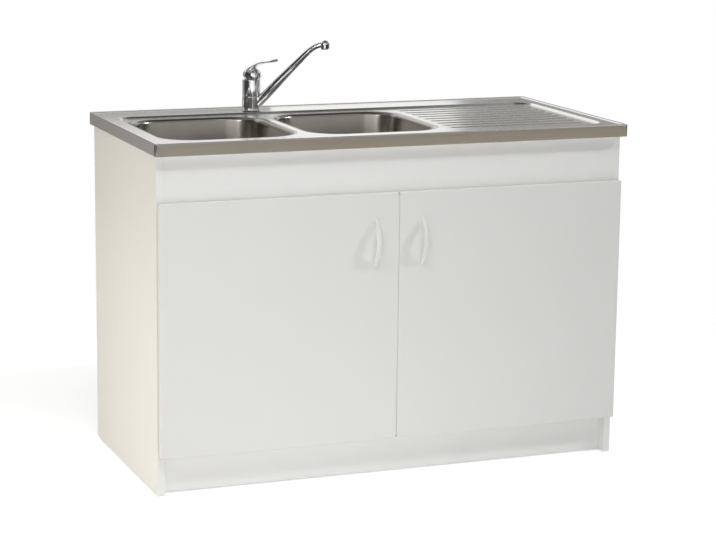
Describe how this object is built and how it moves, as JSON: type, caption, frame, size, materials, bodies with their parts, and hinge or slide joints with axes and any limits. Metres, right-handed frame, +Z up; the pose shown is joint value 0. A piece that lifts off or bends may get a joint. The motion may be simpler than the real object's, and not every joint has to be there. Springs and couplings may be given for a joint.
{
  "type": "sink base cabinet",
  "caption": "Free-standing kitchen sink base cabinet with hinged doors, bow handles, a lay-on steel sink with bowls and drainer, a lever mixer tap and waste fittings.",
  "frame": {"origin": "on the floor, under the middle of the overall width and depth", "axes": "+X to the right seen from the front, +Y to the back, +Z up"},
  "size_m": [1.2, 0.622, 1.0231],
  "materials": {
    "white_board": "white melamine facing, satin",
    "stainless_steel": "fine brushed",
    "chrome": "polished",
    "white_plastic": "smooth white moulding",
    "pipe_plastic": "white moulding",
    "grey_plastic": "moulded",
    "clear_buffer": "soft, translucent",
    "black_rubber": "matte",
    "beech": "bare",
    "brass": "turned",
    "zinc_plate": "bright plated"
  },
  "bodies": {
    "carcass": {"bottom_bearer": "white_board", "bottom_panel": "white_board", "cam_bolts": "zinc_plate", "cam_discs": "zinc_plate", "cross_pipe": "pipe_plastic", "door_buffers": "clear_buffer", "dowels": "beech", "fascia_board": "white_board", "floor_glides": "grey_plastic", "left_bowl": "stainless_steel", "left_hinge_arms": "zinc_plate", "left_hinge_plates": "zinc_plate", "left_hinge_screws": "zinc_plate", "left_side_panel": "white_board", "left_strainer_flange": "stainless_steel", "left_waste_bend": "pipe_plastic", "left_waste_body": "pipe_plastic", "left_waste_gasket": "black_rubber", "plinth_board": "white_board", "rear_bottom_rail": "white_board", "rear_top_rail": "white_board", "right_bowl": "stainless_steel", "right_hinge_arms": "zinc_plate", "right_hinge_plates": "zinc_plate", "right_hinge_screws": "zinc_plate", "right_side_panel": "white_board", "right_strainer_flange": "stainless_steel", "right_waste_body": "pipe_plastic", "right_waste_gasket": "black_rubber", "sink_bracket_screws": "zinc_plate", "sink_brackets": "zinc_plate", "sink_deck": "stainless_steel", "tap_body": "chrome", "tap_gasket": "black_rubber", "tap_nut": "brass", "tap_washer": "zinc_plate", "trap_body": "pipe_plastic", "trap_cup": "pipe_plastic", "trap_outlet_pipe": "pipe_plastic", "waste_nuts": "pipe_plastic", "waste_tee": "pipe_plastic"},
    "left_door": {"left_cup_screws": "zinc_plate", "left_door": "white_board", "left_handle": "white_plastic", "left_handle_screws": "zinc_plate", "left_hinge_cups": "zinc_plate", "left_hinge_pins": "zinc_plate"},
    "right_door": {"right_cup_screws": "zinc_plate", "right_door": "white_board", "right_handle": "white_plastic", "right_handle_screws": "zinc_plate", "right_hinge_cups": "zinc_plate", "right_hinge_pins": "zinc_plate"},
    "spout": {"tap_aerator": "grey_plastic", "tap_spout": "chrome"},
    "cartridge": {"tap_ball": "chrome", "tap_lever_pin": "zinc_plate"},
    "lever": {"tap_lever": "chrome"},
    "left_basket": {"left_waste_basket": "stainless_steel"},
    "right_basket": {"right_waste_basket": "stainless_steel"}
  },
  "joints": [
    {"name": "left_door_hinge", "type": "hinge", "parent": "carcass", "child": "left_door", "pos_m": [-0.5842, -0.273, 0.3985], "axis": [0, 0, -1], "range_deg": [0, 95]},
    {"name": "right_door_hinge", "type": "hinge", "parent": "carcass", "child": "right_door", "pos_m": [0.5842, -0.273, 0.3985], "axis": [0, 0, 1], "range_deg": [0, 95]},
    {"name": "spout_swivel", "type": "hinge", "parent": "carcass", "child": "spout", "pos_m": [-0.1975, 0.236, 0.845], "axis": [0, 0, 1], "range_deg": [-135, 25]},
    {"name": "lever_turn", "type": "hinge", "parent": "carcass", "child": "cartridge", "pos_m": [-0.1975, 0.236, 0.928], "axis": [0, 0, 1], "range_deg": [-70, 30]},
    {"name": "lever_lift", "type": "hinge", "parent": "cartridge", "child": "lever", "pos_m": [-0.1975, 0.236, 0.928], "axis": [-0.866, -0.5, 0], "range_deg": [0, 22]},
    {"name": "left_basket_lift", "type": "slide", "parent": "carcass", "child": "left_basket", "axis": [0, 0, 1], "range_m": [0, 0.2]},
    {"name": "right_basket_lift", "type": "slide", "parent": "carcass", "child": "right_basket", "axis": [0, 0, 1], "range_m": [0, 0.2]}
  ]
}
